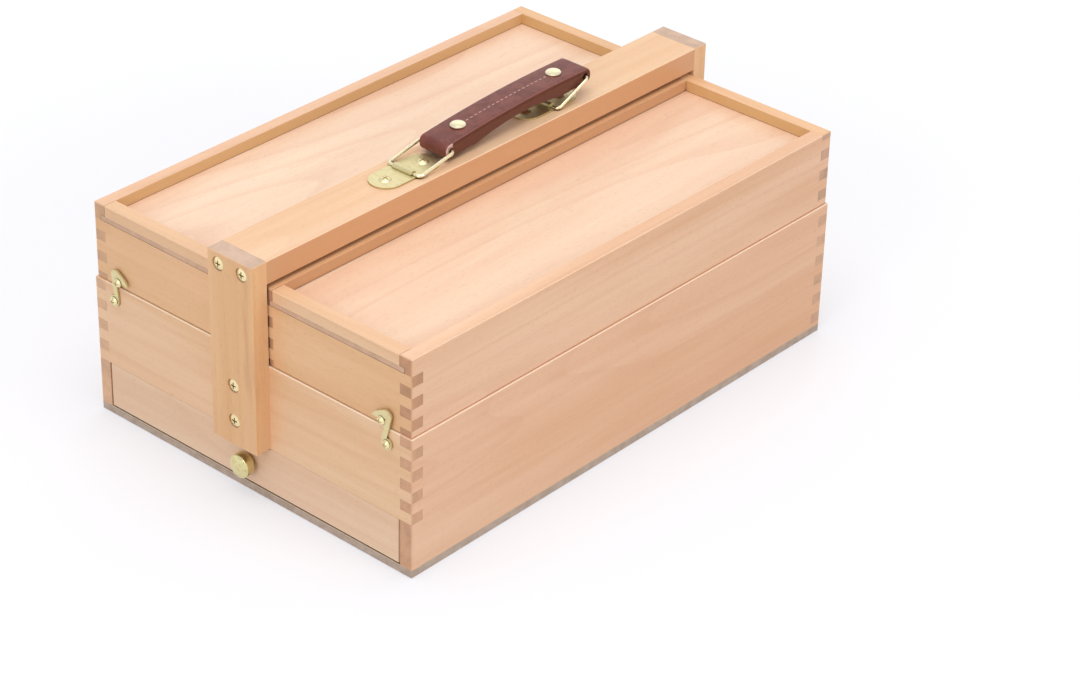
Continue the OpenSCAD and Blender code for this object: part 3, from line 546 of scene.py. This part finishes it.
grip_frame = Matrix.Translation(wire_front) @ Matrix.Rotation(tilt, 4, "X")
for piece, finish in ((strap, leather), (core, leather), (thread, waxed)):
    piece.data.transform(grip_frame)
    piece.data.materials.append(finish.material)
    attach(piece, "grip")
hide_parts("handle_grip")

# Floor and backdrop. White paper that shows white to the camera and keeps a faint
# shadow of the box, real and painted: near the box its glow is weaker and slightly
# lilac. A lit white room shows in the brass.


def ray(shade, kind):
    """1 for the rays of one kind and 0 for the others."""
    return shade.add("ShaderNodeLightPath", {}, {}, f"Is {kind} Ray")


bpy.ops.mesh.primitive_plane_add(size=12, location=(0, 0, 0))
floor = bpy.context.object
floor.name = "studio_floor"
paper = Finish("white_paper")
floor.data.materials.append(paper.material)
sheet = paper.place
matt = sheet.add("ShaderNodeBsdfDiffuse", {}, {"Color": (0.56, 0.56, 0.56, 1)})
seen = sheet.maths("MAXIMUM", ray(sheet, "Camera"), ray(sheet, "Glossy"))
# Painted shadow: the glow is lilac and weaker near the box, white further away.
shadow_lilac, white = (0.41, 0.415, 0.452), (0.9, 0.9, 0.9)
past_painted_shadow = sheet.length().between(0.3, 1.8)
glow = sheet.add("ShaderNodeEmission", {}, {"Color": past_painted_shadow.mix(shadow_lilac, white), "Strength": seen})
both = sheet.add("ShaderNodeAddShader", {}, {0: matt, 1: glow})
paper.tree.links.new(both.socket, paper.tree.nodes["Material Output"].inputs["Surface"])
paper.tree.nodes.remove(paper.shader)

world = bpy.data.worlds.new("studio")
bpy.context.scene.world = world
world.use_nodes = True
sky = Shade(world.node_tree)
ambient, mirrored = 0.68, 0.8
strength = (ambient + (1 - ambient) * ray(sky, "Camera")
            + (mirrored - ambient) * ray(sky, "Glossy"))
backdrop = world.node_tree.nodes["Background"]
backdrop.inputs["Color"].default_value = (1, 1, 1, 1)
world.node_tree.links.new(strength.socket, backdrop.inputs["Strength"])

# Lamps. A large soft one overhead, two fills for the front and the right side, and
# one behind that gives the lids their sheen.


def lamp(name, place, size, watts):
    """A round soft lamp that looks at the middle of the box."""
    light = bpy.data.objects.new(name, bpy.data.lights.new(name, "AREA"))
    bpy.context.scene.collection.objects.link(light)
    light.data.shape, light.data.size, light.data.energy = "DISK", size, watts
    light.location = place
    aim = Vector((0, 0, 0.1)) - Vector(place)
    light.rotation_euler = aim.to_track_quat("-Z", "Y").to_euler()


lamp("softbox_top", (0.1, -0.2, 1.9), 1.5, 10)
lamp("softbox_front", (0.5, -1.8, 0.9), 1.0, 7)
lamp("softbox_right", (1.9, 0.1, 0.8), 1.0, 7)
lamp("softbox_back", (-1.2, 1.4, 1.2), 1.6, 3.5)

# Camera. As in the photograph, from above the front right corner with a long lens.

camera = bpy.data.objects.new("camera", bpy.data.cameras.new("camera"))
bpy.context.scene.collection.objects.link(camera)
camera.location = (1.25027, -1.36738, 1.14870)
camera.rotation_euler = [math.radians(a) for a in (58.6426, -1.3001, 41.7234)]
camera.data.lens, camera.data.sensor_width = 104.153, 36
camera.data.clip_start, camera.data.clip_end = 0.05, 50
bpy.context.scene.camera = camera
bpy.context.scene.view_settings.view_transform = "Standard"
